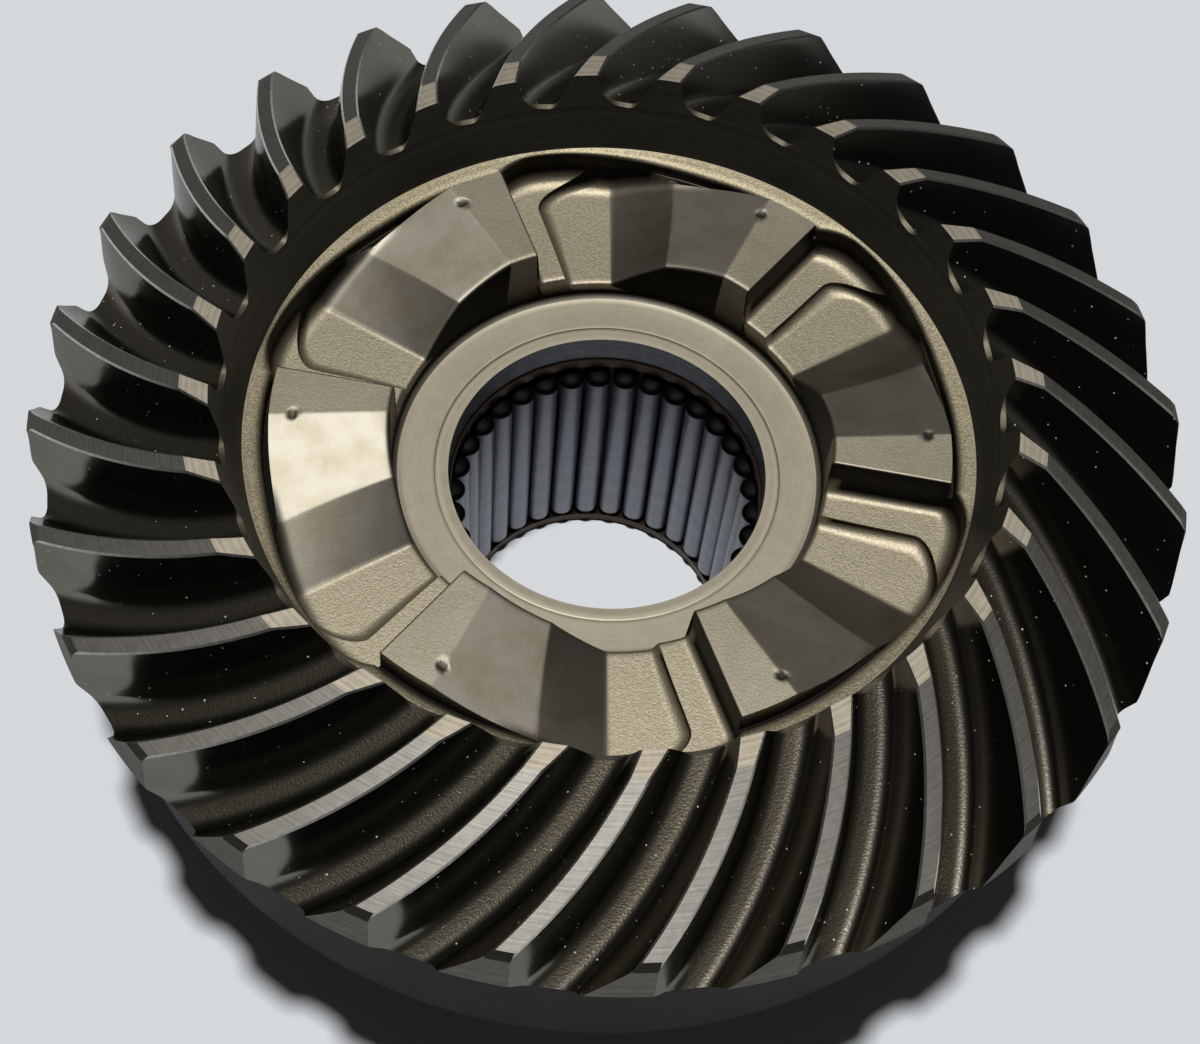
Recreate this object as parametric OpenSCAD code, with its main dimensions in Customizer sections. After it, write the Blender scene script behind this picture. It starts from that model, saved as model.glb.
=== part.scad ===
// Outboard forward gear: a spiral bevel gear with ramped clutch dogs and a needle bearing in its bore.
// Millimetres. Origin at the centre of the rear face, +Z along the bore towards the teeth.

/* [Teeth] */
// number of teeth
tooth_count = 28; // [24:1:32]
// direction of the first tooth space, degrees
tooth_phase = -101.4; // [-180:0.1:180]
// radius of the toe corner, the inner end of the teeth
toe_radius = 37.5; // [37:0.1:38.5]
// height of the flat turned on the toes
toe_height = 48.75; // [48:0.05:49.5]
// radial width of the flat turned on the toes
toe_flat = 2.64; // [1.5:0.1:4]
// radius at the outer end of the lands
heel_radius = 54.07; // [53.5:0.1:54.6]
// height at the outer end of the lands
heel_height = 43.25; // [42.5:0.05:44]
// chamfer where the lands meet the heel
heel_chamfer = 0.65; // [0.3:0.05:1]
// height of the upright band below the heel chamfer
heel_band = 1.3; // [0.6:0.1:2]
// largest radius, at the low edge of the heel
rim_radius = 55.05; // [54.9:0.05:56]
// height of the low edge of the heel
rim_height = 37.5; // [37.2:0.05:38.5]

/* [Tooth cutter] */
// radius of the ring-shaped cutter that leaves each tooth space
cutter_radius = 49.7; // [48:0.1:52]
// angle of the cutter's path to the root line where they cross
cutter_spiral = 39.9; // [38:0.1:42]
// distance of that crossing from the root apex, along the root line
cutter_cross = 60; // [58:0.5:62]
// slope of the root line below level
root_slope = 29.1; // [28:0.1:30]
// height of the root apex on the axis
root_apex = 65.3; // [65:0.1:66]
// width of the cutter's point, before its edge rounding
point_width = 2.95; // [2.4:0.05:3.2]
// blade angle on the side towards the cutter's axis
inner_blade = 24.7; // [22:0.1:26]
// blade angle on the side away from the cutter's axis
outer_blade = 15.1; // [13:0.1:17]
// edge rounding of the cutter's point, which leaves the root fillets
root_fillet = 0.9; // [0.5:0.1:1.1]

/* [Back] */
// drum radius at the foot of the taper under the heel
drum_top_radius = 53.6; // [52.5:0.1:54.4]
// height of the foot of that taper
drum_top_height = 34.9; // [34:0.1:36]
// drum radius at the back face
drum_back_radius = 51.2; // [48:0.1:53]
// chamfer on the drum's lower edge
drum_chamfer = 0.8; // [0.3:0.1:2]
// height of the back face, which is also the length of the rear journal
back_height = 15.3; // [12:0.1:18]
// radius of the rear journal that carries the gear's own bearing
journal_radius = 30; // [27:0.5:34]
// lead-in chamfer on the end of the journal
journal_chamfer = 1; // [0.3:0.1:2]
// width of the grinding relief at the root of the journal, along the journal and along the back face
relief_width = 1.6; // [0.8:0.1:3]
// depth of the grinding relief, into both
relief_depth = 0.4; // [0.2:0.1:1]

/* [Clutch dogs] */
// number of dogs
dog_count = 6; // [4:1:6]
// direction of a drive wall, degrees
dog_phase = 115.85; // [-180:0.05:180]
// inner radius of the dogs
dog_inner_radius = 21.2; // [20.8:0.1:22]
// outer radius of the dogs
dog_outer_radius = 32.6; // [31.8:0.1:32.9]
// height of the flat on top of a dog
dog_height = 41.45; // [41:0.05:42.5]
// edge break on the inner end of the dogs
dog_edge = 0.6; // [0.2:0.1:1.2]
// direction of the flat's far edge after the drive wall, at mid radius, degrees
flat_turn = 9.35; // [8:0.05:11]
// how far that edge is turned from radial, degrees
flat_skew = 4.3; // [0:0.1:8]
// slope of the long facet behind the flat
facet_slope = 16.7; // [15:0.1:18]
// direction of the ramp's foot after the drive wall, at mid radius, degrees
ramp_turn = 39.2; // [37:0.1:41]
// how far the ramp's foot is turned from radial, degrees
ramp_skew = -8; // [-10:0.5:0]
// slope of the ramp
ramp_slope = 31; // [28:0.5:34]
// direction of the floor's far end after the drive wall, degrees
floor_turn = 52.25; // [50:0.05:55]
// height of the pocket floor
floor_height = 35.5; // [35:0.1:36]
// height of the ledge round the pocket floor
ledge_height = 36.6; // [36.2:0.1:37.5]
// inner radius of the lip round the dogs
lip_inner_radius = 33.18; // [33:0.02:33.8]
// outer radius of the lip, at the foot of the toe cone
lip_outer_radius = 35.16; // [34.6:0.02:35.6]
// height of the lip at its inner edge
lip_height = 40.8; // [40:0.05:41.2]
// rise of the lip from its inner to its outer edge
lip_rise = 0.15; // [0:0.05:0.4]
// depth of the narrow groove between the dogs and the lip
groove_depth = 0.9; // [0.4:0.1:2]
// radius of the ball that leaves the dimple on each dog
dimple_ball = 1.2; // [0.6:0.1:2]
// depth of that dimple
dimple_depth = 0.25; // [0.1:0.05:0.4]
// distance of the dimple from the axis
dimple_radius = 30.4; // [28:0.1:31]

/* [Bore and bearing] */
// height of the hub ring
hub_height = 33.55; // [33:0.05:34]
// radius of the step's hollow fillet above the hub ring
hub_fillet = 0.9; // [0.3:0.1:1.2]
// radius at the mouth of the countersink
countersink_radius = 17; // [16.4:0.1:18]
// depth of the countersink
countersink_depth = 0.45; // [0.2:0.05:1]
// radius of the plain upper bore
bore_radius = 15.65; // [15.5:0.05:16]
// outer radius of the bearing cup and of its seat
cup_radius = 17.5; // [17.3:0.1:18.5]
// height of the seat's shoulder, where the cup stops
shoulder_height = 30; // [29:0.1:31]
// chamfer at the mouth of the cup's seat
seat_chamfer = 0.5; // [0.2:0.1:1]
// distance of the cup from the rear face
cup_inset = 0.3; // [0.1:0.1:1]
// thickness of the cup's end lips
lip_thickness = 1; // [0.6:0.1:1.2]
// inner radius of the cup's front lip
front_lip_radius = 15.4; // [15:0.1:15.6]
// inner radius of the cup's rear lip
rear_lip_radius = 14.3; // [14.2:0.1:15]
// corner chamfer of the drawn cup
cup_corner = 0.6; // [0.2:0.1:1]
// radius of the shaft the rollers run on
shaft_radius = 14; // [13.8:0.05:14.1]
// diameter of a roller
roller_diameter = 2.7; // [2.4:0.05:2.8]
// number of rollers
roller_count = 34; // [30:1:34]
// direction of the first roller, degrees
roller_phase = 2.4; // [0:0.1:10]
// radial running clearance between the rollers and the cup
roller_clearance = 0.03; // [0.01:0.01:0.1]
// end play of the rollers at the rear lip
rear_play = 0.2; // [0.1:0.1:1]
// end play of the rollers at the front lip
front_play = 0.9; // [0.1:0.1:2]
// end chamfer of a roller
roller_chamfer = 0.2; // [0.1:0.05:0.4]

/* [Hidden] */
$fn = 112;
// half-width of the cutting shapes that must pass clear of the whole gear
reach = 60;
// height of the cutting blade above its point
blade_height = 14;
// how far the cutter's arc runs past the crossing towards the heel, degrees
arc_over_heel = 13;
// length of the cutter's arc, degrees
cutter_arc = 49;
// facets in a full turn of the cutter ring and of a roller
cutter_facets = 96;
roller_facets = 32;
// steps in the rounded root of a tooth space and in the hub fillet
root_steps = 2;
fillet_steps = 3;
dog_mid_radius = (dog_inner_radius + dog_outer_radius) / 2;
dog_pitch = 360 / dog_count;
// how far the facet's cut runs past the flat's edge, ahead and behind
facet_length = 14.5;
facet_back = 5;
// level length of the ramp's cut, past where it meets the facet
ramp_run = 7.8;
race_radius = shaft_radius + roller_diameter + roller_clearance;
roller_circle = shaft_radius + roller_diameter / 2;
roller_start = cup_inset + lip_thickness + rear_play;
roller_length = shoulder_height - lip_thickness - front_play - roller_start;

// a point in the plane from its distance and its direction
function polar(distance, direction) = [distance * cos(direction), distance * sin(direction)];

// points on an arc from one direction to another
function arc(middle, radius, from, to, steps) =
    [for (i = [0:steps]) middle + polar(radius, from + (to - from) * i / steps)];

// distance from the blade's middle to the start of its edge rounding, for one blade angle
function point_half(blade) = point_width / 2 + root_fillet * (tan(blade) - 1 / cos(blade));

// distance from the blade's middle to its top, for one blade angle
function top_half(blade) = point_width / 2 + blade_height * tan(blade);

// the rounded corner of the cutter's point, on the side away from the cutter's axis
function outer_corner() =
    arc([cutter_radius + point_half(outer_blade), root_fillet], root_fillet, -90, -outer_blade, root_steps);

// the same corner on the side towards the cutter's axis
function inner_corner() =
    arc([cutter_radius - point_half(inner_blade), root_fillet], root_fillet, 180 + inner_blade, 270, root_steps);

// section of the cutter: point at zero height, flanks leaning out by the blade angles
function cutter_section() = concat(
    inner_corner(),
    outer_corner(),
    [[cutter_radius + top_half(outer_blade), blade_height]],
    [[cutter_radius - top_half(inner_blade), blade_height]]
);

// turned outline of the gear, from the rear face outwards, over the teeth and down the bore
function blank_section() = concat(
    [[cup_radius + seat_chamfer, 0]],
    [[journal_radius - journal_chamfer, 0]],
    [[journal_radius, journal_chamfer]],
    [[journal_radius, back_height - relief_width]],
    [[journal_radius - relief_depth, back_height - relief_width]],
    [[journal_radius - relief_depth, back_height + relief_depth]],
    [[journal_radius + relief_width, back_height + relief_depth]],
    [[journal_radius + relief_width, back_height]],
    [[drum_back_radius - drum_chamfer, back_height]],
    [[drum_back_radius, back_height + drum_chamfer]],
    [[drum_top_radius, drum_top_height]],
    [[rim_radius, rim_height]],
    [[heel_radius + heel_chamfer, heel_height - heel_chamfer - heel_band]],
    [[heel_radius + heel_chamfer, heel_height - heel_chamfer]],
    [[heel_radius, heel_height]],
    [[toe_radius + toe_flat, toe_height]],
    [[toe_radius, toe_height]],
    [[lip_outer_radius, lip_height + lip_rise]],
    [[lip_inner_radius, lip_height]],
    [[lip_inner_radius, lip_height - groove_depth]],
    [[dog_outer_radius, lip_height - groove_depth]],
    [[dog_outer_radius, dog_height]],
    [[dog_inner_radius + dog_edge, dog_height]],
    [[dog_inner_radius, dog_height - dog_edge]],
    arc([dog_inner_radius - hub_fillet, hub_height + hub_fillet], hub_fillet, 0, -90, fillet_steps),
    [[countersink_radius, hub_height]],
    [[bore_radius, hub_height - countersink_depth]],
    [[bore_radius, shoulder_height]],
    [[cup_radius, shoulder_height]],
    [[cup_radius, seat_chamfer]]
);

// section of the drawn cup with its lips turned in at both ends
function cup_section() = [
    [rear_lip_radius, cup_inset],
    [cup_radius - cup_corner, cup_inset],
    [cup_radius, cup_inset + cup_corner],
    [cup_radius, shoulder_height - cup_corner],
    [cup_radius - cup_corner, shoulder_height],
    [front_lip_radius, shoulder_height],
    [front_lip_radius, shoulder_height - lip_thickness],
    [race_radius, shoulder_height - lip_thickness],
    [race_radius, cup_inset + lip_thickness],
    [rear_lip_radius, cup_inset + lip_thickness]
];

// one tooth space, as the ring-shaped cutter leaves it
module tooth_space() {
    translate([0, 0, root_apex])
        rotate([0, root_slope, 0])
            translate([cutter_cross - cutter_radius * sin(cutter_spiral), -cutter_radius * cos(cutter_spiral), 0])
                rotate([0, 0, 90 - cutter_spiral - arc_over_heel])
                    rotate_extrude(angle = cutter_arc, $fn = cutter_facets)
                        polygon(cutter_section());
}

// an upright wedge between two directions, standing on a given height
module sector(from_turn, to_turn, height) {
    translate([0, 0, height])
        linear_extrude(reach)
            polygon([
                [0, 0],
                polar(reach, from_turn),
                polar(reach, (from_turn + to_turn) / 2),
                polar(reach, to_turn)
            ]);
}

// a block lying along an edge of the dog, with x along the edge and y in the direction of turning
module along_edge(turn, skew, height) {
    middle = polar(dog_mid_radius, turn);
    translate([middle[0], middle[1], height])
        rotate([0, 0, turn + skew])
            children();
}

// what is cut away above the long facet
module facet_cut() {
    along_edge(flat_turn, flat_skew, dog_height)
        rotate([-facet_slope, 0, 0])
            translate([-dog_mid_radius / 2, -facet_back, 0])
                cube([dog_mid_radius, facet_back + facet_length, reach]);
}

// what is cut away above the ramp and the pocket floor, as one bent prism ending at the floor's far end
module ramp_and_floor_cut() {
    intersection() {
        sector(flat_turn, floor_turn, 0);
        along_edge(ramp_turn, ramp_skew, floor_height)
            rotate([90, 0, 90])
                translate([0, 0, -dog_mid_radius / 2])
                    linear_extrude(dog_mid_radius)
                        polygon([
                            [-ramp_run, ramp_run * tan(ramp_slope)],
                            [0, 0],
                            [dog_mid_radius, 0],
                            [dog_mid_radius, reach],
                            [-ramp_run, reach]
                        ]);
    }
}

// everything cut away between one drive wall and the next
module pocket() {
    facet_cut();
    ramp_and_floor_cut();
    sector((ramp_turn + floor_turn) / 2, dog_pitch, ledge_height);
}

// all the pockets, kept inside the lip
module pockets() {
    intersection() {
        cylinder(r = lip_inner_radius, h = reach);
        for (i = [0:dog_count - 1])
            rotate([0, 0, dog_phase + i * dog_pitch])
                pocket();
    }
}

// the small ball mark at the outer end of each dog's flat
module dimples() {
    for (i = [0:dog_count - 1])
        rotate([0, 0, dog_phase + flat_turn + i * dog_pitch])
            translate([dimple_radius, 0, dog_height + dimple_ball - dimple_depth])
                sphere(r = dimple_ball, $fn = roller_facets);
}

// the forged gear, cut and ground from one piece
module gear() {
    color([0.42, 0.41, 0.38])
        difference() {
            rotate_extrude()
                polygon(blank_section());
            for (i = [0:tooth_count - 1])
                rotate([0, 0, tooth_phase + i * 360 / tooth_count])
                    tooth_space();
            pockets();
            dimples();
        }
}

// the drawn steel cup pressed into the rear of the bore
module bearing_cup() {
    color([0.45, 0.36, 0.28])
        rotate_extrude()
            polygon(cup_section());
}

// the full row of needle rollers, standing round the shaft
module needle_rollers() {
    color([0.50, 0.52, 0.56])
        for (i = [0:roller_count - 1])
            rotate([0, 0, roller_phase + i * 360 / roller_count])
                translate([roller_circle, 0, roller_start])
                    rotate_extrude($fn = roller_facets)
                        polygon([
                            [0, 0],
                            [roller_diameter / 2 - roller_chamfer, 0],
                            [roller_diameter / 2, roller_chamfer],
                            [roller_diameter / 2, roller_length - roller_chamfer],
                            [roller_diameter / 2 - roller_chamfer, roller_length],
                            [0, roller_length]
                        ]);
}

gear();
bearing_cup();
needle_rollers();
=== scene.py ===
import bpy
import numpy as np
from mathutils import Matrix


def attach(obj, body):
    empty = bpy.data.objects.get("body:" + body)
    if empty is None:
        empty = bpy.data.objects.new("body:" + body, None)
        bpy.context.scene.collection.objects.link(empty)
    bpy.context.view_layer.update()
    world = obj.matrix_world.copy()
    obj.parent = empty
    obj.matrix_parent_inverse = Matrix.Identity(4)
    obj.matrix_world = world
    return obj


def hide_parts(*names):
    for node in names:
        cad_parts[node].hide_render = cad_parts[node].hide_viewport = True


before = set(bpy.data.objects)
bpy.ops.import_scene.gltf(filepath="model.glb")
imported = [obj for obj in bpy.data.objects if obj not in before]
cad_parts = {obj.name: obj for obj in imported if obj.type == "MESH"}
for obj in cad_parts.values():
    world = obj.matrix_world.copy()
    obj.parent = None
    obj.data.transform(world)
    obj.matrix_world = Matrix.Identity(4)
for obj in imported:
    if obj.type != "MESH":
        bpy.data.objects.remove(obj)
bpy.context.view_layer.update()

# The teeth. A spiral bevel gear is milled by a ring-shaped cutter whose point travels in a plane
# tangent to the root cone, so every tooth space is a piece of one cutter ring. The steel forging was
# turned first: the lands, the toe flats and the heel bands are what is left of that turning.
MM = 0.001  # sizes are millimetres until a mesh is made
TEETH = 28
PITCH = 2 * np.pi / TEETH
TOOTH_PHASE = np.radians(-101.4)
CUTTER_RADIUS, CUTTER_SPIRAL, CUTTER_CROSS = 49.7, np.radians(39.9), 60.0
ROOT_SLOPE, ROOT_APEX = np.radians(29.1), 65.3
POINT_HALF, POINT_ROUND = 1.475, 1.5
BLADE_LEAN = {1: np.radians(15.1), -1: np.radians(24.7)}  # outer and inner side of the ring
PATH_HEEL, PATH_TOE, PATH_HALVINGS = np.radians(36.0), np.radians(88.0), 46
TOP_LOWEST, TOP_HIGHEST, TOP_HALVINGS = 0.2, 13.0, 40
TOE, FLAT_END, LAND_END = (37.5, 48.75), (40.14, 48.75), (54.07, 43.25)  # radius and height
ROOT_TOE, ROOT_HEEL = (36.64, 45.9), (53.6, 35.25)
HEEL_R = np.array([51.2, 53.6, 55.05, 54.72, 54.72, 54.07, 50.07])
HEEL_Z = np.array([16.1, 34.9, 37.5, 41.3, 42.6, 43.25, 47.25])
LAND_BREAK = 0.16


def cutter_point(rho, w, psi):
    """Radius, height and turn of a point of the cutter ring: rho from the cutter's axis and psi
    round it lie in the root plane, w stands square to it."""
    u = CUTTER_CROSS - CUTTER_RADIUS * np.sin(CUTTER_SPIRAL) + rho * np.cos(psi)
    y = -CUTTER_RADIUS * np.cos(CUTTER_SPIRAL) + rho * np.sin(psi)
    x = u * np.cos(ROOT_SLOPE) + w * np.sin(ROOT_SLOPE)
    z = ROOT_APEX - u * np.sin(ROOT_SLOPE) + w * np.cos(ROOT_SLOPE)
    return np.hypot(x, y), z, np.arctan2(y, x)


def blade_side(side, w):
    """rho of one side of the blade at height w: a straight flank leaning by the blade's angle, and
    below it the arc of the point's rounded edge."""
    lean = BLADE_LEAN[side]
    middle = POINT_HALF + POINT_ROUND * (np.tan(lean) - 1 / np.cos(lean))
    drop = np.clip(POINT_ROUND - w, 0, POINT_ROUND)
    rounded = middle + np.sqrt(POINT_ROUND**2 - drop**2)
    straight = POINT_HALF + w * np.tan(lean)
    return CUTTER_RADIUS + side * np.where(w < POINT_ROUND * (1 - np.sin(lean)), rounded, straight)


# Rows run from toe to heel. Each is the line in the turned section from a point of the tip to the
# matching point of the root; the last row is the turned heel itself.
FLAT_ROWS, LAND_ROWS = np.array([0, 0.5]), np.linspace(0, 1, 28) ** 0.96
flat_share = np.append(FLAT_ROWS, np.ones_like(LAND_ROWS))
land_share = np.append(np.zeros_like(FLAT_ROWS), LAND_ROWS)
tip_r = TOE[0] + (FLAT_END[0] - TOE[0]) * flat_share + (LAND_END[0] - FLAT_END[0]) * land_share
tip_z = TOE[1] + (LAND_END[1] - FLAT_END[1]) * land_share
row_share = (tip_r - TOE[0]) / (LAND_END[0] - TOE[0])
root_r = ROOT_TOE[0] + (ROOT_HEEL[0] - ROOT_TOE[0]) * row_share
root_z = ROOT_TOE[1] + (ROOT_HEEL[1] - ROOT_TOE[1]) * row_share
tip_r, tip_z = np.append(tip_r, LAND_END[0]), np.append(tip_z, LAND_END[1])
root_r, root_z = np.append(root_r, ROOT_HEEL[0]), np.append(root_z, ROOT_HEEL[1])
ROWS = len(tip_r)


def beyond_row(r, z):
    """Positive where a point lies on the heel side of its row's line; for the last row the line is
    the turned heel, whose radius is known at every height."""
    dr, dz = (root_r - tip_r)[:, None], (root_z - tip_z)[:, None]
    side = (z - tip_z[:, None]) * dr - (r - tip_r[:, None]) * dz
    side[-1] = r[-1] - np.interp(z[-1], HEEL_Z, HEEL_R)
    return side


def on_rows(rho, w):
    """Where the cutter threads (rho, w) cross each row, by halving the stretch of psi."""
    low = np.full(np.broadcast(rho, w).shape, PATH_HEEL)
    high = np.full_like(low, PATH_TOE)
    for _ in range(PATH_HALVINGS):
        middle = (low + high) / 2
        r, z, _turn = cutter_point(rho, w, middle)
        outside = beyond_row(r, z) > 0
        low, high = np.where(outside, middle, low), np.where(outside, high, middle)
    return cutter_point(rho, w, (low + high) / 2)


def flank_top(side):
    """Height w at which one flank meets the tip of each row, by halving."""
    low, high = np.full((ROWS, 1), TOP_LOWEST), np.full((ROWS, 1), TOP_HIGHEST)
    for _ in range(TOP_HALVINGS):
        middle = (low + high) / 2
        r, z, _turn = on_rows(blade_side(side, middle), middle)
        above = z > tip_z[:, None]
        low, high = np.where(above, low, middle), np.where(above, middle, high)
    return (low + high) / 2


FILLET_STEPS = np.array([0.03, 0.14, 0.36, 0.68, 1.0])
FLANK_STEPS = np.array([0.11, 0.23, 0.35, 0.48, 0.61, 0.74, 0.87, 1.0])
ROOT_STEPS = np.array([[0.0, 0.5, 1.0]])
LAND_STEPS = np.array([0, 0.33, 0.67, 1.0])


def flank_rows(side):
    """One flank from the root to just under the land, rows by columns, as radius, height and turn;
    and the turn at which it would meet the land in a sharp edge."""
    fillet = POINT_ROUND * (1 - np.sin(BLADE_LEAN[side]))
    top = flank_top(side)
    w = np.concatenate([
        np.repeat(FILLET_STEPS[None] * fillet, ROWS, 0),
        fillet + (top - LAND_BREAK - fillet) * FLANK_STEPS,
    ], 1)
    edge_turn = on_rows(blade_side(side, top), top)[2]
    return on_rows(blade_side(side, w), w), edge_turn


def root_rows(share):
    """The flat of the root at w = 0, at shares of the width between its two fillets."""
    ends = [blade_side(side, np.zeros((ROWS, 1))) for side in (-1, 1)]
    rho = ends[0] + (ends[1] - ends[0]) * share
    return on_rows(rho, np.zeros_like(rho))


# Columns of one pitch run from the middle of a root up one flank, over the land and down the flank of
# the next space. The edges of the land are broken: a narrow bevel runs along both sides.
(outer_r, outer_z, outer_turn), outer_edge = flank_rows(1)
(inner_r, inner_z, inner_turn), inner_edge = flank_rows(-1)
bed_r, bed_z, bed_turn = root_rows(ROOT_STEPS)
inner_turn, inner_edge = inner_turn + PITCH, inner_edge + PITCH
break_turn = LAND_BREAK / tip_r[:, None]
land_from, land_to = outer_edge + break_turn, inner_edge - break_turn
land_turn = land_from + (land_to - land_from) * LAND_STEPS
land_r, land_z = (np.repeat(tip[:, None], len(LAND_STEPS), 1) for tip in (tip_r, tip_z))
tooth_r = np.concatenate([bed_r[:, 1:], outer_r, land_r, inner_r[:, ::-1], bed_r[:, :1]], 1)
tooth_z = np.concatenate([bed_z[:, 1:], outer_z, land_z, inner_z[:, ::-1], bed_z[:, :1]], 1)
tooth_turn = np.concatenate(
    [bed_turn[:, 1:], outer_turn, land_turn, inner_turn[:, ::-1], bed_turn[:, :1] + PITCH], 1)
COLUMNS = tooth_r.shape[1]
AROUND = TEETH * COLUMNS
FIRST_FILLET = ROOT_STEPS.size - 1
FIRST_LAND = FIRST_FILLET + len(FILLET_STEPS) + len(FLANK_STEPS)
LAST_LAND = FIRST_LAND + len(LAND_STEPS) - 1

# Where a tooth space runs out on the toe cone its edge is deburred: a narrow bevel across the root,
# which fades out up the fillets.
TOE_BREAK, TOE_SETBACK = 0.4, 0.3
CONE_RUN, CONE_RISE = np.array([2.34, 7.8]) / np.hypot(2.34, 7.8)
FILLET_FADE = np.array([0.9, 0.7, 0.4, 0.12, 0.0])
column_share = np.zeros(COLUMNS)
column_share[[0, 1, -1]] = 1
column_share[FIRST_FILLET:FIRST_FILLET + len(FILLET_FADE)] = FILLET_FADE
column_share[-1 - len(FILLET_FADE):-1] = FILLET_FADE[::-1]
bevel = (tooth_r[0] - TOE_BREAK * CONE_RUN * column_share,
         tooth_z[0] - TOE_BREAK * CONE_RISE * column_share, tooth_turn[0])
for part in (tooth_r, tooth_z, tooth_turn):
    part[0] += (part[1] - part[0]) * TOE_SETBACK * column_share

# The heel. Below the lands the forging is turned to three narrow bands, and under the last of them
# it tapers in to the drum. The tooth spaces run out through that taper.
HEEL_ROWS, BANDS = [42.6, 41.3, 37.55, 37.4, 36.2, 34.9], 3
step = PITCH / COLUMNS


def heel_row(height):
    """A turned row of the heel. Columns that leave the tooth space above this height lie on the
    row, spread evenly between the two run-out edges; the others wait at their run-out."""
    z, turn = tooth_z[-1], tooth_turn[-1]
    column = np.arange(COLUMNS)
    up, down = slice(0, FIRST_LAND + 1), slice(LAST_LAND, COLUMNS)
    first = np.interp(height, z[up], column[up])
    last = np.interp(height, z[down][::-1], column[down][::-1])
    from_turn = np.interp(first, column, turn)
    to_turn = np.interp(last, column, turn)
    on_row = (column >= first) & (column <= last)
    spread = from_turn + (to_turn - from_turn) * (column - first) / max(last - first, 1e-9)
    z_row = np.where(on_row, height, np.minimum(z, height))
    return np.interp(z_row, HEEL_Z, HEEL_R), z_row, np.where(on_row, spread, turn)


heel = [heel_row(height) for height in HEEL_ROWS]
round_the_gear = np.arange(AROUND)
tooth_number = round_the_gear // COLUMNS
rows = []


def add_tooth_row(r, z, turn):
    """One row given for a single pitch, repeated for every tooth."""
    rows.append((np.tile(r, TEETH), np.tile(z, TEETH),
                 np.tile(turn, TEETH) + tooth_number * PITCH + TOOTH_PHASE))


def add_ring(r, z, start):
    """A plain turned circle, its columns evenly spread from the direction start."""
    rows.append((np.full(AROUND, r), np.full(AROUND, z), start + round_the_gear * step))


add_tooth_row(*bevel)
for tooth_row in zip(tooth_r, tooth_z, tooth_turn):
    add_tooth_row(*tooth_row)
TEETH_END = len(rows)
BANDS_END = TEETH_END - 1 + BANDS
for turned_row in heel:
    add_tooth_row(*turned_row)
toe_start = TOOTH_PHASE + np.mean(tooth_turn[0] - np.arange(COLUMNS) * step)
heel_start = TOOTH_PHASE + np.mean(heel[-1][2] - np.arange(COLUMNS) * step)

# The back of the gear, out of sight: a chamfered drum with a plain rear face, and the ground journal
# for the gear's own bearing, with a relief groove at its root and the needle bearing's seat inside it.
for r, z in ((53.5, 34.1), (51.2, 16.1), (51.13, 15.75), (50.8, 15.4), (50.4, 15.3)):
    add_ring(r, z, heel_start)
DRUM_END = len(rows)
for r, z in ((31.6, 15.3), (31.6, 15.7), (29.6, 15.7), (29.6, 13.7), (30.0, 13.7), (30.0, 1.0),
             (29.0, 0.0), (18.0, 0.0)):
    add_ring(r, z, toe_start)
JOURNAL_END = len(rows)
for r, z in ((17.5, 0.5), (17.5, 30.0), (15.65, 30.0), (15.65, 33.38)):
    add_ring(r, z, toe_start)
BORE_END = len(rows)

# The hub ring in front of the bore: a flat ground ring with a shallow countersink and, outside it,
# a hollow fillet that rises to the pocket floors of the clutch.
for r, z in ((15.67, 33.4), (15.95, 33.41), (16.8, 33.47), (16.9, 33.46), (16.98, 33.42),
             (17.06, 33.55), (17.2, 33.57), (17.4, 33.57), (20.1, 33.57), (20.3, 33.58)):
    add_ring(r, z, toe_start)
HUB_END = len(rows)
for r, z in ((20.65, 33.65), (20.96, 33.83), (21.14, 34.13), (21.2, 34.45)):
    add_ring(r, z, toe_start)
DOGS_FROM = len(rows)

# The clutch dogs: six blocks forged inside the teeth. Each has an upright drive wall, a narrow
# flat, a long sloping facet and a steeper ramp down to a pocket with a ledge round its far end.
DOGS, DOG_START = 6, np.radians(115.85)
DOG_PITCH, DOG_COLUMNS = 2 * np.pi / DOGS, AROUND // DOGS
DOG_INNER, DOG_OUTER, DOG_TOP = 21.2, 32.6, 41.45
LIP_INNER, LIP_OUTER, LIP_TOP, GROOVE = 33.18, 35.12, 40.44, 38.8
FLOOR, LEDGE = 35.5, 36.6
FACET_FALL = np.tan(np.radians(16.7))
DRIVE_FILLET, DRIVE_SETBACK, END_ROUND = 0.9, 0.2, 0.4
FLAT_EDGE = (8.03, 9.99)  # degrees from the drive wall at the inner and the outer radius
RAMP_EDGE, FLOOR_EDGE = (24.62, 27.95), (38.96, 39.38)
LEDGE_FOOT, LEDGE_EDGE = (49.2, 50.7), (51.9, 54.1)
dog_r = np.array([
    21.2, 21.27, 21.4, 21.6, 21.9, 22.6, 23.9, 25.7, 27.2, 28.3, 29.2, 29.8, 30.1, 30.25, 30.4, 30.55,
    30.7, 31.0, 31.3, 31.6, 31.9, 32.2, 32.45, 32.6, 32.63, 32.9, 33.13])[:, None]
share = (dog_r - DOG_INNER) / (DOG_OUTER - DOG_INNER)
edge_flat, edge_ramp, edge_floor, edge_foot, edge_ledge = (
    np.radians(inside + (outside - inside) * share)
    for inside, outside in (FLAT_EDGE, RAMP_EDGE, FLOOR_EDGE, LEDGE_FOOT, LEDGE_EDGE))
edge_wall = DOG_PITCH - DRIVE_FILLET / dog_r

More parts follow.
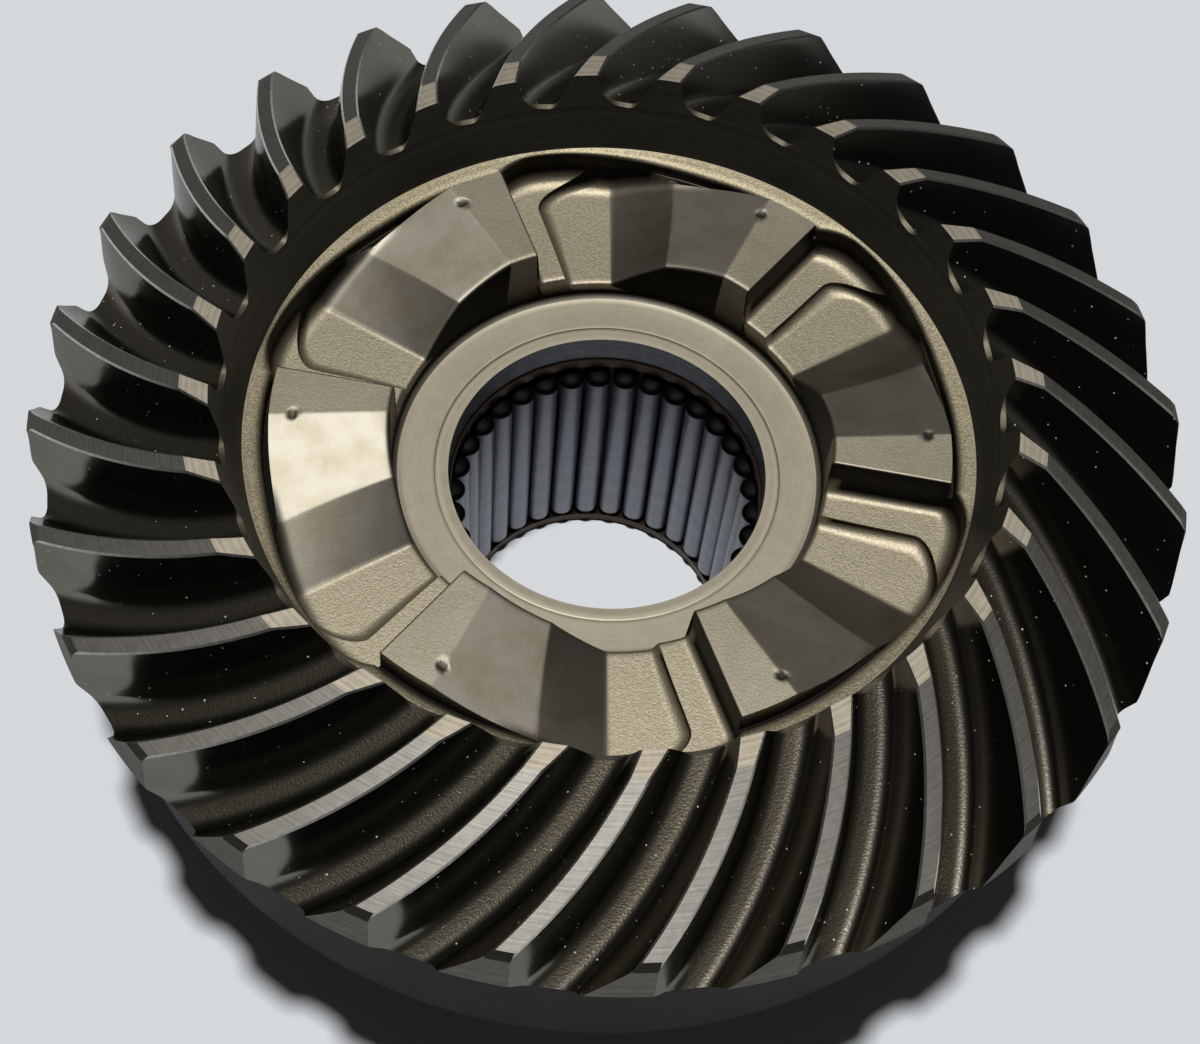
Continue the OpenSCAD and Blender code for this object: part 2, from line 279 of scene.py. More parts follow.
# Beyond BULGE_FROM the pockets swell outwards, and the ledge curves back round their outer corner by
# CORNER_TURN times the square of the distance past CORNER_FROM.
POCKET_BULGE, BULGE_FROM, BULGE_STRETCH = 1.45, 28.3, 1.25
CORNER_FROM, CORNER_TURN = 30.3, np.radians(0.65)
swollen_r = BULGE_FROM + np.clip(dog_r - BULGE_FROM, 0, None) * BULGE_STRETCH
corner = CORNER_TURN * np.clip(swollen_r - CORNER_FROM, 0, None) ** 2
edge_foot, edge_ledge = edge_foot - corner, edge_ledge - corner


def soft_min(a, b, k):
    """The smaller of two heights, rounded off by a parabola where they differ by less than k."""
    return np.minimum(a, b) - np.clip(k - abs(a - b), 0, None) ** 2 / (4 * k)


def between(start, end, count):
    """Columns from start up to but not reaching end, closer together near both."""
    return start + (end - start) * (1 - np.cos(np.pi * np.arange(count) / count)) / 2


def line_distance(r, turn):
    """Distance behind the flat's far edge, which runs straight between its two end points."""
    inner = DOG_INNER * np.exp(1j * np.radians(FLAT_EDGE[0]))
    outer = DOG_OUTER * np.exp(1j * np.radians(FLAT_EDGE[1]))
    return ((r * np.exp(1j * turn) - inner) * np.conj(outer - inner)).imag / abs(outer - inner)


def pocket_floor(turn):
    """Floor height: level, then a hollow quarter ellipse up to the sharp edge of the ledge."""
    climb = np.clip((turn - edge_foot) / (edge_ledge - edge_foot), 0, 1)
    return FLOOR + (LEDGE - FLOOR) * (1 - np.sqrt(1 - climb**2))


FLAT_SOFT, RAMP_SOFT, FLOOR_SOFT, FORGED_FADE = 0.04, 0.06, 0.2, 0.4
HOLLOW_WIDE, HOLLOW_RISE, HOLLOW_FROM, HOLLOW_FADE = 1.3, 1.8, LIP_TOP - 0.8, 1.5


def dog_height(r, turn):
    """Height of the dog and its pocket: flat, facet and ramp, whichever is lowest, above the floor.
    What lies deeper than the lip turns up to it in a hollow quarter ellipse. Also 1 where the floor
    stands above the dog and 0 where the dog stands above it."""
    facet = DOG_TOP - FACET_FALL * line_distance(r, turn)
    crest = DOG_TOP - FACET_FALL * line_distance(r, edge_ramp)
    ramp = FLOOR + (crest - FLOOR) * (edge_floor - turn) / (edge_floor - edge_ramp)
    top = soft_min(soft_min(DOG_TOP + 0 * turn, facet, FLAT_SOFT), ramp, RAMP_SOFT)
    floor = pocket_floor(turn)
    z = -soft_min(-top, -floor, FLOOR_SOFT)
    rim = np.clip((r - LIP_INNER) / HOLLOW_WIDE + 1, 0, 0.999)
    depth = np.clip((HOLLOW_FROM - z) / HOLLOW_FADE, 0, 1)
    hollow = HOLLOW_RISE * depth * (1 - np.sqrt(1 - rim**2))
    return z + hollow, np.clip((floor - top) / FORGED_FADE + 0.5, 0, 1)


SWELL_FROM, SWELL_RUN, RETURN_FROM, RETURN_RUN = np.radians([20, 33, 53, 7])


def wall_radius(turn):
    """Radius of the lip's inner edge: a circle beside the dog, then swelling outwards along the
    pocket on a smooth step, and back along a parabola to the next drive wall."""
    rise = np.clip((turn - SWELL_FROM) / SWELL_RUN, 0, 1)
    back = np.clip((turn - RETURN_FROM) / RETURN_RUN, 0, 1)
    return LIP_INNER + POCKET_BULGE * rise * rise * (3 - 2 * rise) * (1 - back**2)


# Columns of one dog from the top of its drive wall to the foot of the next one, which they then
# climb. The flats keep a little of the forged skin, and the ramps get some painted shade.
DOG_STEPS, FILLET_TURNS, FLAT_FORGED, RAMP_MARGIN = (24, 32, 32, 28, 12, 15), 7, 0.45, 0.002
WALL_OUT, WALL_DROP = [0, 0, 0.03, 0.1], np.array([[0.2, 0.08, 0.02]])
edges = (DRIVE_SETBACK / dog_r, edge_flat, edge_ramp, edge_floor, edge_foot, edge_ledge, edge_wall)
dog_turn = np.concatenate(
    [between(start, end, count) for start, end, count in zip(edges, edges[1:], DOG_STEPS)], 1)
dog_z, dog_forged = dog_height(dog_r, dog_turn)
dog_forged = np.maximum(dog_forged, FLAT_FORGED * (dog_turn < edge_flat))
on_ramp = (dog_turn > edge_ramp + RAMP_MARGIN) & (dog_turn < edge_floor) & (dog_forged < 0.5)
sweep = np.linspace(0, np.pi / 2, FILLET_TURNS)
wall_out = np.concatenate([DRIVE_FILLET * (np.sin(sweep) - 1), WALL_OUT])
wall_foot, _ = dog_height(dog_r, edge_wall)
wall_z = np.concatenate([wall_foot + DRIVE_FILLET * (1 - np.cos(sweep)), (wall_foot + DOG_TOP) / 2,
                         DOG_TOP - WALL_DROP + 0 * wall_foot], 1)
wall_forged = np.linspace(1, 0, len(wall_out)) + 0 * wall_z
dog_turn = np.concatenate([dog_turn, DOG_PITCH + wall_out / dog_r], 1)
dog_z = np.concatenate([dog_z, wall_z], 1)
dog_forged = np.concatenate([dog_forged, wall_forged], 1)
on_ramp = np.concatenate([on_ramp, np.zeros_like(wall_z)], 1)

# The inner ends are rounded, a narrow groove parts the dogs from the lip, and a punched dimple sits
# on the far edge of each flat.
GROOVE_FADE = 0.6
DIMPLE_R, DIMPLE_SPAN, DIMPLE_DEEP, DIMPLE_SHAPE = 30.4, 0.6, 0.2, 0.7
end_run = np.clip(END_ROUND - (dog_r - DOG_INNER), 0, END_ROUND)
dog_z = dog_z - (END_ROUND - np.sqrt(END_ROUND**2 - end_run**2))
past_dog = dog_r > DOG_OUTER
groove = past_dog * np.clip((dog_z - GROOVE) / GROOVE_FADE + 1, 0, 1)
dog_z = np.where(past_dog, np.minimum(dog_z, GROOVE), dog_z)
from_dimple = np.hypot(dog_r - DIMPLE_R, (dog_turn - edge_flat) * dog_r)
dimple = np.clip(1 - (from_dimple / DIMPLE_SPAN) ** 2, 0, None)
dog_z = dog_z - DIMPLE_DEEP * dimple**DIMPLE_SHAPE
stretch = (wall_radius(np.minimum(dog_turn, DOG_PITCH)) - BULGE_FROM) / (LIP_INNER - BULGE_FROM)
dog_out = np.where(dog_r > BULGE_FROM, BULGE_FROM + (dog_r - BULGE_FROM) * stretch, dog_r)
first_dog = int(round((DOG_START - toe_start) / step))
dog_number = (round_the_gear - first_dog) // DOG_COLUMNS
dog_column = (round_the_gear - first_dog) - dog_number * DOG_COLUMNS
for out_row, z_row, turn_row in zip(dog_out, dog_z, dog_turn):
    rows.append((out_row[dog_column], z_row[dog_column],
                 DOG_START + dog_number * DOG_PITCH + turn_row[dog_column]))
DOGS_END = len(rows)

# The lip round the dogs, a band with a rounded inner edge that narrows where the pockets swell, and
# outside it the bare cone up to the toes. Its columns go over from the dogs' spacing to an even one.
LIP_CLEAR = 0.02
dog_ring, even_ring = rows[-1][2], toe_start + round_the_gear * step
lowest = np.minimum(rows[-1][1], GROOVE) + LIP_CLEAR
for evenness, r, z in ((0, LIP_INNER, 38.7), (0, 33.2, 39.45), (0.1, 33.3, 39.85), (0.25, 33.5, 40.13),
                       (0.45, 33.85, 40.28), (0.65, 34.4, 40.35), (0.8, 34.95, 40.4),
                       (0.9, LIP_OUTER, LIP_TOP)):
    ring = dog_ring + (even_ring - dog_ring) * evenness
    wall = wall_radius(np.mod(ring - DOG_START, DOG_PITCH))
    narrowed = (LIP_OUTER - r) * (LIP_OUTER - wall) / (LIP_OUTER - LIP_INNER)
    rows.append((LIP_OUTER - narrowed, np.maximum(z, lowest), ring))
LIP_END = len(rows) - 1
for r, z in ((35.2, 40.62), (35.3, 41.3), (35.75, 42.9), (36.15, 44.25)):
    add_ring(r, z, toe_start)

# One closed mesh: rows joined in a loop round the turned section, columns round the axis. Points
# that fall together at the run-outs are merged, and the slivers between them are left out.
MERGE = 1e-7
ring_r, ring_z, ring_turn = (np.array([row[i] for row in rows]) for i in range(3))
points = np.stack([ring_r * np.cos(ring_turn), ring_r * np.sin(ring_turn), ring_z], 2)
points = points.reshape(-1, 3) * MM
row_of, column_of = np.meshgrid(np.arange(len(rows)), round_the_gear, indexing="ij")
next_row, next_column = (row_of + 1) % len(rows), (column_of + 1) % AROUND
quads = np.stack([row_of * AROUND + column_of, next_row * AROUND + column_of,
                  next_row * AROUND + next_column, row_of * AROUND + next_column], 2).reshape(-1, 4)
_, kept, merged = np.unique(np.round(points / MERGE).astype(np.int64), axis=0,
                            return_index=True, return_inverse=True)
points = points[kept]
quads = merged.reshape(-1)[quads]
triangles = np.concatenate([quads[:, [0, 1, 2]], quads[:, [0, 2, 3]]])
whole = (triangles != np.roll(triangles, 1, 1)).all(1)

# Which finish each face has. The materials further down follow this order.
(FLANK, LAND, EDGE, HEEL, BACK, CLUTCH, LIP, DRUM, CONE, TOE_FLAT, BORE, ROOT_END, HUB) = range(13)
tooth_column = (column_of % COLUMNS).reshape(-1)
face_row = row_of.reshape(-1)
finish_of = np.full(len(face_row), FLANK, np.int32)
on_teeth = face_row < TEETH_END - 1
on_land = on_teeth & (tooth_column >= FIRST_LAND) & (tooth_column < LAST_LAND)
finish_of[on_land] = LAND
finish_of[on_land & (face_row <= len(FLAT_ROWS))] = TOE_FLAT
finish_of[on_teeth & ((tooth_column == FIRST_LAND - 1) | (tooth_column == LAST_LAND))] = EDGE
finish_of[face_row == 0] = ROOT_END
for finish, start, end in (
        (HEEL, TEETH_END - 1, BANDS_END), (DRUM, BANDS_END, DRUM_END), (BACK, DRUM_END, JOURNAL_END),
        (BORE, JOURNAL_END, BORE_END), (HUB, BORE_END, HUB_END), (CLUTCH, HUB_END, DOGS_END),
        (LIP, DOGS_END, LIP_END), (CONE, LIP_END, len(rows))):
    finish_of[(face_row >= start) & (face_row < end)] = finish
finish_of = np.concatenate([finish_of, finish_of])[whole]
triangles = triangles[whole]

mesh = bpy.data.meshes.new("forward_gear")
mesh.from_pydata(points, [], triangles)
mesh.polygons.foreach_set("material_index", finish_of)
mesh.shade_smooth()

# Edges are sharp where they turn by more than SHARP_TURN or part two finishes.
SHARP_TURN = np.radians(40)
mesh.set_sharp_from_angle(angle=SHARP_TURN)
edge_of = np.zeros(len(triangles) * 3, np.int32)
mesh.loops.foreach_get("edge_index", edge_of)
edge_low, edge_high = np.full(len(mesh.edges), HUB), np.full(len(mesh.edges), FLANK)
np.minimum.at(edge_low, edge_of, np.repeat(finish_of, 3))
np.maximum.at(edge_high, edge_of, np.repeat(finish_of, 3))
sharp = np.zeros(len(mesh.edges), bool)
mesh.attributes["sharp_edge"].data.foreach_get("value", sharp)
mesh.attributes["sharp_edge"].data.foreach_set("value", sharp | (edge_low != edge_high))

# Three shares for the materials: how far down a tooth space a point lies, where the pockets and the
# lip of the clutch keep their forged skin, and where painted shade darkens the clutch towards black:
# on steep faces, in the groove round the dogs and in the dimples, thinly on the ramps, but not on the
# inner ends of the floors.
DIMPLE_SHADE, RAMP_SHADE = 0.8, 0.34
UPRIGHT_FROM, UPRIGHT_RUN = 0.72, 0.35
FLOOR_END_R, FLOOR_END_FORGED = 22.3, 0.3
root_share, forged_share, scale_share = (np.zeros((len(rows), AROUND)) for _ in range(3))
root_share[:TEETH_END] = np.tile(column_share, TEETH)
forged_share[DOGS_FROM:DOGS_END] = dog_forged[:, dog_column]
forged_share[DOGS_END:LIP_END] = 1
# Painted shade: the groove round the dogs, the dimples and, thinly, the ramps are darkened towards
# black.
recess_shade = np.maximum(groove, np.clip(dimple * 2, 0, DIMPLE_SHADE))
scale_share[DOGS_FROM:DOGS_END] = np.maximum(recess_shade, RAMP_SHADE * on_ramp)[:, dog_column]
floor_end = (ring_r < FLOOR_END_R) & (forged_share > FLOOR_END_FORGED)
normals = np.zeros(len(points) * 3, np.float32)
mesh.vertex_normals.foreach_get("vector", normals)
# Painted shade on steep faces: the further a normal turns from upright, the darker the face is painted.
upright = np.clip((UPRIGHT_FROM - normals[2::3]) / UPRIGHT_RUN, 0, 1)
upright = upright * (1 - floor_end.reshape(-1)[kept])
for name, values in (("root_share", root_share.reshape(-1)[kept]),
                     ("scale_share", np.maximum(upright, scale_share.reshape(-1)[kept])),
                     ("forged_share", forged_share.reshape(-1)[kept])):
    mesh.attributes.new(name, "FLOAT", "POINT").data.foreach_set("value", values.astype(np.float32))
gear = bpy.data.objects.new("forward_gear", mesh)
bpy.context.collection.objects.link(gear)
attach(gear, "gear")
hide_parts("gear")


def linear(code):
    """An sRGB hex colour as linear red, green, blue and alpha."""
    value = np.array([int(code[i:i + 2], 16) / 255 for i in (0, 2, 4)])
    return (*np.where(value <= 0.04045, value / 12.92, ((value + 0.055) / 1.055) ** 2.4), 1)


def add_node(tree, kind, settings=None, inputs=None):
    """Adds a node; settings are its own fields, inputs are values, or (node, output) to link."""
    node = tree.nodes.new(kind)
    for name, value in (settings or {}).items():
        setattr(node, name, value)
    for name, value in (inputs or {}).items():
        if isinstance(value, tuple) and len(value) == 2 and isinstance(value[0], bpy.types.Node):
            tree.links.new(value[0].outputs[value[1]], node.inputs[name])
        else:
            node.inputs[name].default_value = value
    return node


def new_material(name):
    """A material with an empty node tree, and that tree."""
    material = bpy.data.materials.new(name)
    material.use_nodes = True
    material.node_tree.nodes.clear()
    return material, material.node_tree


# Hardened flank: milled, carburised and lapped steel, dark and glossy with a film of oil. The root,
# which nothing rubs, stays satin and grainy, and a few specks of dust cling to the oil. The specks
# are pale and not metal, or they would mirror the dark room.
GRAIN, CLOUD, SPECK_SPACING, SPECK_LARGEST = 0.22 * MM, 6 * MM, 1.0 * MM, 0.1
material, tree = new_material("hardened_flank_steel")
place = add_node(tree, "ShaderNodeTexCoord")
root = add_node(tree, "ShaderNodeAttribute", {"attribute_name": "root_share"})
grain = add_node(tree, "ShaderNodeTexNoise", None,
                 {"Vector": (place, "Object"), "Scale": 1 / GRAIN, "Detail": 3.0, "Roughness": 0.65})
cloud = add_node(tree, "ShaderNodeTexNoise", None,
                 {"Vector": (place, "Object"), "Scale": 1 / CLOUD, "Detail": 4.0, "Roughness": 0.6})
speck = add_node(tree, "ShaderNodeTexVoronoi", None,
                 {"Vector": (place, "Object"), "Scale": 1 / SPECK_SPACING})
speck_split = add_node(tree, "ShaderNodeSeparateColor", None, {"Color": (speck, "Color")})
speck_near = add_node(tree, "ShaderNodeMath", {"operation": "MULTIPLY"},
                      {0: (speck_split, "Red"), 1: SPECK_LARGEST})
dust = add_node(tree, "ShaderNodeMath", {"operation": "LESS_THAN"},
                {0: (speck, "Distance"), 1: (speck_near, "Value")})
steel = add_node(tree, "ShaderNodeMix", {"data_type": "RGBA"},
                 {0: (cloud, "Fac"), 6: linear("6E6B64"), 7: linear("848078")})
satin = add_node(tree, "ShaderNodeMix", {"data_type": "RGBA"},
                 {0: (grain, "Fac"), 6: linear("4E4A3F"), 7: linear("767060")})
worn = add_node(tree, "ShaderNodeMix", {"data_type": "RGBA"},
                {0: (root, "Fac"), 6: (steel, 2), 7: (satin, 2)})
dusty = add_node(tree, "ShaderNodeMix", {"data_type": "RGBA"},
                 {0: (dust, "Value"), 6: (worn, 2), 7: linear("C0BEB8")})
bare = add_node(tree, "ShaderNodeMath", {"operation": "SUBTRACT"}, {0: 1.0, 1: (dust, "Value")})
gloss = add_node(tree, "ShaderNodeMapRange", None,
                 {"Value": (root, "Fac"), "To Min": 0.2, "To Max": 0.4})
relief = add_node(tree, "ShaderNodeMath", {"operation": "MULTIPLY"},
                  {0: (grain, "Fac"), 1: (root, "Fac")})
bump = add_node(tree, "ShaderNodeBump", None,
                {"Height": (relief, "Value"), "Strength": 0.8, "Distance": 0.05 * MM})
shader = add_node(tree, "ShaderNodeBsdfPrincipled", None,
                  {"Base Color": (dusty, 2), "Metallic": (bare, "Value"), "Roughness": (gloss, "Result"),
                   "Specular Tint": linear("C0C0BE"), "Normal": (bump, "Normal")})
add_node(tree, "ShaderNodeOutputMaterial", None, {"Surface": (shader, "BSDF")})
mesh.materials.append(material)


def turned_steel(name, dark, light, roughness, pitch, cut, sockets=None):
    """Steel as a turning tool leaves it: rings round the axis, told apart by the radius plus four
    fifths of the height, so that they run round faces, cones and drums alike. pitch and cut are
    millimetres, and a real feed is finer, so the rings are drawn coarse enough to show. sockets
    are values that only this finish has."""
    material, tree = new_material(name)
    place = add_node(tree, "ShaderNodeTexCoord")
    level = add_node(tree, "ShaderNodeVectorMath", {"operation": "MULTIPLY"},
                     {0: (place, "Object"), 1: (1.0, 1.0, 0.0)})
    radius = add_node(tree, "ShaderNodeVectorMath", {"operation": "LENGTH"}, {0: (level, "Vector")})
    split = add_node(tree, "ShaderNodeSeparateXYZ", None, {"Vector": (place, "Object")})
    along = add_node(tree, "ShaderNodeMath", {"operation": "MULTIPLY_ADD"},
                     {0: (split, "Z"), 1: 0.8, 2: (radius, "Value")})
    rings = add_node(tree, "ShaderNodeTexNoise", {"noise_dimensions": "1D"},
                     {"W": (along, "Value"), "Scale": 1 / (pitch * MM), "Detail": 2.0, "Roughness": 0.6})
    cloud = add_node(tree, "ShaderNodeTexNoise", None,
                     {"Vector": (place, "Object"), "Scale": 1 / (1.1 * MM), "Detail": 4.0,
                      "Roughness": 0.7})
    tone = add_node(tree, "ShaderNodeMath", {"operation": "ADD"}, {0: (rings, "Fac"), 1: (cloud, "Fac")})
    spread = add_node(tree, "ShaderNodeMapRange", None,
                      {"Value": (tone, "Value"), "From Min": 0.7, "From Max": 1.3})
    colour = add_node(tree, "ShaderNodeMix", {"data_type": "RGBA"},
                      {0: (spread, "Result"), 6: linear(dark), 7: linear(light)})
    bump = add_node(tree, "ShaderNodeBump", None,
                    {"Height": (rings, "Fac"), "Strength": 0.6, "Distance": cut * MM})
    shader = add_node(tree, "ShaderNodeBsdfPrincipled", None,
                      {"Base Color": (colour, 2), "Metallic": 1.0, "Roughness": roughness,
                       "Normal": (bump, "Normal"), **(sockets or {})})
    add_node(tree, "ShaderNodeOutputMaterial", None, {"Surface": (shader, "BSDF")})
    return material


# Turned lands are matt grey with fine marks across them. Their broken edges are painted pale, partly a
# burnished bevel and partly a painted highlight of the bright lines where the bevel catches the lamp.
# The heel bands are turned too but oily, so they stay dull at a glancing angle. The journal is ground.
mesh.materials.append(turned_steel("turned_land_steel", "77746D", "8F8B83", 0.49, 0.16, 0.006))
mesh.materials.append(turned_steel("broken_edge_highlight_steel", "B4B1A9", "CECCC6", 0.3, 0.3, 0.0))
mesh.materials.append(turned_steel("turned_heel_steel", "625E57", "75716A", 0.36, 0.35, 0.004,
                                   {"Specular Tint": linear("B4B4B4")}))
mesh.materials.append(turned_steel("ground_steel", "9A9892", "BDBBB4", 0.26, 0.12, 0.004))


def clutch_steel(name, pale, stain, forged_pale, forged_dark, shade_colour, roughness):
    """Sized forging: the struck faces are matt and even with brown stains, the pockets keep a coarse
    forged skin that glints, and painted shade darkens it towards a near-black colour on steep
    walls, in the groove and the dimples, and thinly on the ramps."""
    material, tree = new_material(name)
    place = add_node(tree, "ShaderNodeTexCoord")
    forged = add_node(tree, "ShaderNodeAttribute", {"attribute_name": "forged_share"})
    grain = add_node(tree, "ShaderNodeTexNoise", None,
                     {"Vector": (place, "Object"), "Scale": 1 / GRAIN, "Detail": 3.0, "Roughness": 0.65})
    cloud = add_node(tree, "ShaderNodeTexNoise", None,
                     {"Vector": (place, "Object"), "Scale": 1 / (5 * MM), "Detail": 5.0,
                      "Roughness": 0.62})
    stained = add_node(tree, "ShaderNodeMapRange", None,
                       {"Value": (cloud, "Fac"), "From Min": 0.42, "From Max": 0.68})
    struck = add_node(tree, "ShaderNodeMix", {"data_type": "RGBA"},
                      {0: (stained, "Result"), 6: linear(pale), 7: linear(stain)})
    speckled = add_node(tree, "ShaderNodeMapRange", None,
                        {"Value": (grain, "Fac"), "From Min": 0.35, "From Max": 0.65})
    rough_skin = add_node(tree, "ShaderNodeMix", {"data_type": "RGBA"},
                          {0: (speckled, "Result"), 6: linear(forged_dark), 7: linear(forged_pale)})
    # Painted shade: how much of the near-black shade colour is mixed in.
    shaded = add_node(tree, "ShaderNodeAttribute", {"attribute_name": "scale_share"})
    skin = add_node(tree, "ShaderNodeMix", {"data_type": "RGBA"},
                    {0: (forged, "Fac"), 6: (struck, 2), 7: (rough_skin, 2)})
    colour = add_node(tree, "ShaderNodeMix", {"data_type": "RGBA"},
                      {0: (shaded, "Fac"), 6: (skin, 2), 7: linear(shade_colour)})
    gain = add_node(tree, "ShaderNodeMapRange", None,
                    {"Value": (forged, "Fac"), "To Min": 0.25, "To Max": 1.0})
    height = add_node(tree, "ShaderNodeMath", {"operation": "MULTIPLY"},
                      {0: (grain, "Fac"), 1: (gain, "Result")})
    bump = add_node(tree, "ShaderNodeBump", None,
                    {"Height": (height, "Value"), "Strength": 0.6, "Distance": 0.06 * MM})
    shader = add_node(tree, "ShaderNodeBsdfPrincipled", None,
                      {"Base Color": (colour, 2), "Metallic": 1.0, "Roughness": roughness,
                       "Normal": (bump, "Normal")})
    add_node(tree, "ShaderNodeOutputMaterial", None, {"Surface": (shader, "BSDF")})
    return material


# The clutch is struck to size and the lip left as forged, both a warm matt grey. Black oxide on the
# drum is no metal and hardly shines, and the scale on the toe cone is a thinner film of it. The toe
# flats are turned pale, the bore is smooth and in shade, and the hub is ground to an even sheen.
# For both clutch finishes, the near-black colour given before the roughness is painted shade.
mesh.materials.append(clutch_steel("struck_clutch_steel", "989285", "89826F", "AEA48E", "978E78",
                                   "1B1915", 0.54))
mesh.materials.append(clutch_steel("forged_lip_steel", "A0977F", "857B64", "A89F87", "80765F",
                                   "2A2720", 0.55))
mesh.materials.append(turned_steel("dark_drum_steel", "1E1C1A", "272522", 0.6, 0.5, 0.004,
                                   {"Metallic": 0.0, "Specular IOR Level": 0.03}))
mesh.materials.append(turned_steel("black_scale_steel", "35332D", "44413A", 0.5, 0.8, 0.01,
                                   {"Metallic": 0.6}))
mesh.materials.append(turned_steel("turned_toe_steel", "9A9180", "B6AD9A", 0.54, 0.3, 0.008))
mesh.materials.append(turned_steel("bored_steel", "45464A", "5C5D62", 0.34, 0.3, 0.004))
mesh.materials.append(turned_steel("deburred_root_steel", "5E584B", "787161", 0.6, 0.3, 0.008))
mesh.materials.append(turned_steel("ground_hub_steel", "9E9683", "ACA491", 0.58, 0.6, 0.0006))

# The bearing cup: thin steel drawn to shape and pressed into the rear of the bore. Its turned-in
# lips are browned by heat and oil.
cup_material = turned_steel("drawn_cup_steel", "30271F", "42352B", 0.36, 0.4, 0.004)
cup = bpy.data.objects["bearing_cup"]
for slot in cup.material_slots:
    slot.material = cup_material

# The needle rollers: hardened bearing steel, ground and lapped, with domed ends. They stand in a
# full row with no cage, held by the cup's lips.
ROLLERS, ROLLER_PHASE, ROLLER_CIRCLE = 34, np.radians(2.4), 15.35
ROLLER_FOOT, ROLLER_TOP = 1.5, 28.1
ROLLER_SIDES = 24
DOME_R = np.array([0.45, 0.85, 1.12, 1.27, 1.335, 1.35])
DOME_Z = np.array([0.04, 0.14, 0.3, 0.48, 0.66, 0.85])
roller_r = np.concatenate([DOME_R, DOME_R[::-1]])
roller_z = np.concatenate([ROLLER_FOOT + DOME_Z, ROLLER_TOP - DOME_Z[::-1]])
sides = np.arange(ROLLER_SIDES)
side_turn = sides * 2 * np.pi / ROLLER_SIDES
ring_points = np.stack([np.outer(roller_r, np.cos(side_turn)), np.outer(roller_r, np.sin(side_turn)),
                        np.repeat(roller_z[:, None], ROLLER_SIDES, 1)], 2)
one_roller = np.concatenate([[[0, 0, ROLLER_FOOT]], ring_points.reshape(-1, 3), [[0, 0, ROLLER_TOP]]])

# Faces of one roller: bands between its rings, and a fan at each end round the pole.
bands, last_point = len(roller_r) - 1, len(one_roller) - 1
band, side = (part.reshape(-1) for part in np.meshgrid(np.arange(bands), sides, indexing="ij"))
lower = 1 + band * ROLLER_SIDES + side
lower_next = 1 + band * ROLLER_SIDES + (side + 1) % ROLLER_SIDES
next_sides, top_start = (sides + 1) % ROLLER_SIDES, 1 + bands * ROLLER_SIDES
foot_cap = np.stack([np.zeros_like(sides), 1 + next_sides, 1 + sides], 1)
top_cap = np.stack([np.full_like(sides, last_point), top_start + sides, top_start + next_sides], 1)
roller_faces = np.concatenate([np.stack([lower, lower_next, lower_next + ROLLER_SIDES], 1),
                               np.stack([lower, lower_next + ROLLER_SIDES, lower + ROLLER_SIDES], 1),
                               foot_cap, top_cap])
roller_turn = ROLLER_PHASE + np.arange(ROLLERS) * 2 * np.pi / ROLLERS
centres = np.stack([np.cos(roller_turn), np.sin(roller_turn), 0 * roller_turn], 1) * ROLLER_CIRCLE
roller_points = (centres[:, None] + one_roller[None]).reshape(-1, 3) * MM
first_point = np.arange(ROLLERS)[:, None, None] * len(one_roller)
roller_mesh = bpy.data.meshes.new("needle_roller_row")
roller_mesh.from_pydata(roller_points, [], (first_point + roller_faces[None]).reshape(-1, 3))
roller_mesh.shade_smooth()

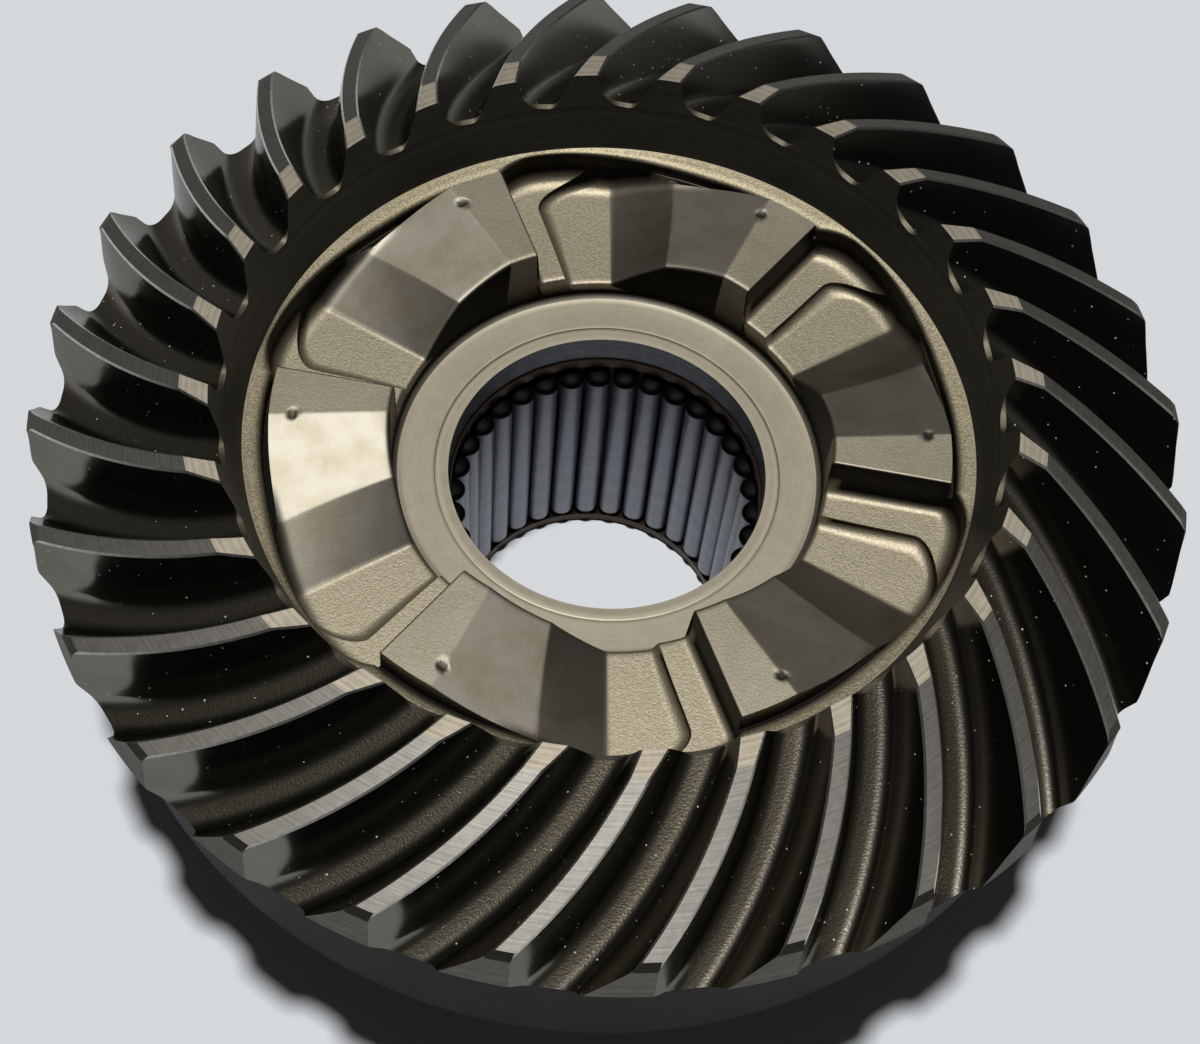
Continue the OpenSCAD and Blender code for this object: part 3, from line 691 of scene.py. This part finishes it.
# The lapped sides are a cool grey with a soft sheen; the domed ends are painted near black as painted
# shade.
roller_mesh.materials.append(turned_steel("lapped_roller_steel", "6E7076", "787A80", 0.4, 1.5, 0.0))
roller_mesh.materials.append(turned_steel("painted_shade_end_steel", "0F0F10", "161617", 0.6, 1.5, 0.0))
DOME_BANDS = len(DOME_R) - 1
face_band = np.concatenate([band, band, np.zeros_like(sides), np.full_like(sides, bands - 1)])
at_end = (face_band < DOME_BANDS) | (face_band >= bands - DOME_BANDS)
roller_mesh.polygons.foreach_set("material_index", np.tile(at_end.astype(np.int32), ROLLERS))
roller_row = bpy.data.objects.new("needle_roller_row", roller_mesh)
bpy.context.collection.objects.link(roller_row)
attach(roller_row, "rollers")
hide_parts("needle_rollers")

# The table: a plain pale sheet, matt, wide enough to fill all but the lowest views. It lies a tenth
# of a millimetre under the gear, so that the two never share a plane.
TABLE_HALF, TABLE_Z = 30, -0.0001
floor_mesh = bpy.data.meshes.new("table")
floor_mesh.from_pydata([(x * TABLE_HALF, y * TABLE_HALF, TABLE_Z)
                        for x, y in ((-1, -1), (1, -1), (1, 1), (-1, 1))], [], [(0, 1, 2, 3)])
table = bpy.data.objects.new("table", floor_mesh)
bpy.context.collection.objects.link(table)
material, tree = new_material("table_paper")
shader = add_node(tree, "ShaderNodeBsdfPrincipled", None,
                  {"Base Color": linear("DADDE0"), "Roughness": 0.8})
add_node(tree, "ShaderNodeOutputMaterial", None, {"Surface": (shader, "BSDF")})
floor_mesh.materials.append(material)

# Light: one far soft lamp high overhead, wide enough to blur the shadow by 3 mm, in a dim room.
scene = bpy.context.scene
scene.view_settings.view_transform = "Standard"
world = bpy.data.worlds.new("room")
scene.world = world
world.use_nodes = True
room = world.node_tree.nodes["Background"].inputs
room["Color"].default_value = linear("E8ECF2")
room["Strength"].default_value = 0.035
lamp = bpy.data.lights.new("lamp", "SUN")
lamp.angle, lamp.energy = np.radians(4.4), 2.9
lamp_object = bpy.data.objects.new("lamp", lamp)
lamp_object.rotation_euler = (np.radians(2.2), np.radians(-1.8), 0)
bpy.context.collection.objects.link(lamp_object)

# Camera: where the photograph was taken from, for a frame of 1200 by 1044.
camera_data = bpy.data.cameras.new("camera")
camera_data.lens, camera_data.sensor_width, camera_data.clip_start = 65.09, 36.0, 0.01
camera = bpy.data.objects.new("camera", camera_data)
stand = np.eye(4)
stand[:3, 0] = 0.99358, 0.09677, 0.05857  # to the right of the picture
stand[:3, 1] = -0.11312, 0.85002, 0.51447  # up the picture
stand[:3, 2] = 0.0, -0.51779, 0.85551  # back, away from the gear
stand[:3, 3] = np.array([-0.14, -115.19, 213.58]) * MM
camera.matrix_world = Matrix(stand)
bpy.context.collection.objects.link(camera)
scene.camera = camera
